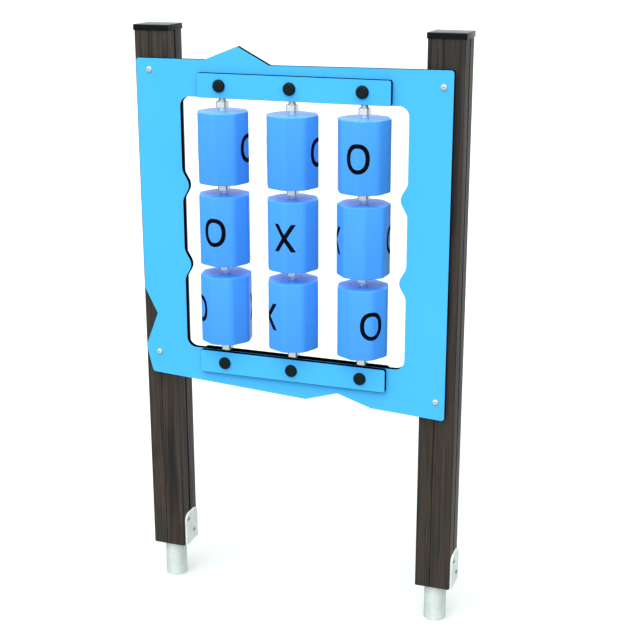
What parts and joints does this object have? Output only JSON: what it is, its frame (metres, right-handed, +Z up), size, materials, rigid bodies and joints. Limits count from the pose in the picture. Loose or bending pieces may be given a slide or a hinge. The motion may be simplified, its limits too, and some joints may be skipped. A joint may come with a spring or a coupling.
{
  "type": "tic tac toe set",
  "caption": "Free-standing playground tic tac toe panel: two wooden posts on steel feet carry a blue cut-out board with turning rollers on upright shafts.",
  "frame": {"origin": "on the ground, under the middle of the outer size", "axes": "+X to the viewer's right, +Y from the playing side to the back, +Z up along the posts"},
  "size_m": [0.8934, 0.1656, 1.5868],
  "materials": {
    "timber": "dark brown stained wood grain, satin",
    "black_plastic": "satin moulded plastic",
    "steel": "pale galvanised or satin stainless",
    "panel_blue": "satin two-colour polyethylene sheet, black core",
    "roller_blue": "soft gloss moulded plastic"
  },
  "bodies": {
    "frame": {"bar_back_lower": "panel_blue", "bar_back_upper": "panel_blue", "bar_bolt_lower_left": "steel", "bar_bolt_lower_middle": "steel", "bar_bolt_lower_right": "steel", "bar_bolt_upper_left": "steel", "bar_bolt_upper_middle": "steel", "bar_bolt_upper_right": "steel", "bar_front_lower": "panel_blue", "bar_front_upper": "panel_blue", "bolt_cover_lower_left": "black_plastic", "bolt_cover_lower_middle": "black_plastic", "bolt_cover_lower_right": "black_plastic", "bolt_cover_upper_left": "black_plastic", "bolt_cover_upper_middle": "black_plastic", "bolt_cover_upper_right": "black_plastic", "cap_left": "black_plastic", "cap_right": "black_plastic", "corner_bolt_lower_left": "steel", "corner_bolt_lower_right": "steel", "corner_bolt_upper_left": "steel", "corner_bolt_upper_right": "steel", "foot_plate_left": "steel", "foot_plate_right": "steel", "foot_tube_left": "steel", "foot_tube_right": "steel", "nut_bottom_left": "steel", "nut_bottom_middle": "steel", "nut_bottom_right": "steel", "nut_lower_left": "steel", "nut_lower_middle": "steel", "nut_lower_right": "steel", "nut_top_left": "steel", "nut_top_middle": "steel", "nut_top_right": "steel", "nut_upper_left": "steel", "nut_upper_middle": "steel", "nut_upper_right": "steel", "panel": "panel_blue", "plate_screw_left_lower": "steel", "plate_screw_left_upper": "steel", "plate_screw_right_lower": "steel", "plate_screw_right_upper": "steel", "post_left": "timber", "post_right": "timber", "shaft_left": "steel", "shaft_middle": "steel", "shaft_right": "steel"},
    "roller_top_left": {"roller_top_left": "roller_blue"},
    "roller_top_middle": {"roller_top_middle": "roller_blue"},
    "roller_top_right": {"roller_top_right": "roller_blue"},
    "roller_middle_left": {"roller_middle_left": "roller_blue"},
    "roller_middle_middle": {"roller_middle_middle": "roller_blue"},
    "roller_middle_right": {"roller_middle_right": "roller_blue"},
    "roller_bottom_left": {"roller_bottom_left": "roller_blue"},
    "roller_bottom_middle": {"roller_bottom_middle": "roller_blue"},
    "roller_bottom_right": {"roller_bottom_right": "roller_blue"}
  },
  "joints": [
    {"name": "roller_top_left_spin", "type": "hinge", "parent": "frame", "child": "roller_top_left", "pos_m": [-0.19535, -0.01442, 1.283], "axis": [0, 0, 1], "continuous": true},
    {"name": "roller_top_middle_spin", "type": "hinge", "parent": "frame", "child": "roller_top_middle", "pos_m": [-0.00385, -0.01442, 1.283], "axis": [0, 0, 1], "continuous": true},
    {"name": "roller_top_right_spin", "type": "hinge", "parent": "frame", "child": "roller_top_right", "pos_m": [0.18765, -0.01442, 1.283], "axis": [0, 0, 1], "continuous": true},
    {"name": "roller_middle_left_spin", "type": "hinge", "parent": "frame", "child": "roller_middle_left", "pos_m": [-0.19535, -0.01442, 1.068], "axis": [0, 0, 1], "continuous": true},
    {"name": "roller_middle_middle_spin", "type": "hinge", "parent": "frame", "child": "roller_middle_middle", "pos_m": [-0.00385, -0.01442, 1.068], "axis": [0, 0, 1], "continuous": true},
    {"name": "roller_middle_right_spin", "type": "hinge", "parent": "frame", "child": "roller_middle_right", "pos_m": [0.18765, -0.01442, 1.068], "axis": [0, 0, 1], "continuous": true},
    {"name": "roller_bottom_left_spin", "type": "hinge", "parent": "frame", "child": "roller_bottom_left", "pos_m": [-0.19535, -0.01442, 0.853], "axis": [0, 0, 1], "continuous": true},
    {"name": "roller_bottom_middle_spin", "type": "hinge", "parent": "frame", "child": "roller_bottom_middle", "pos_m": [-0.00385, -0.01442, 0.853], "axis": [0, 0, 1], "continuous": true},
    {"name": "roller_bottom_right_spin", "type": "hinge", "parent": "frame", "child": "roller_bottom_right", "pos_m": [0.18765, -0.01442, 0.853], "axis": [0, 0, 1], "continuous": true}
  ]
}
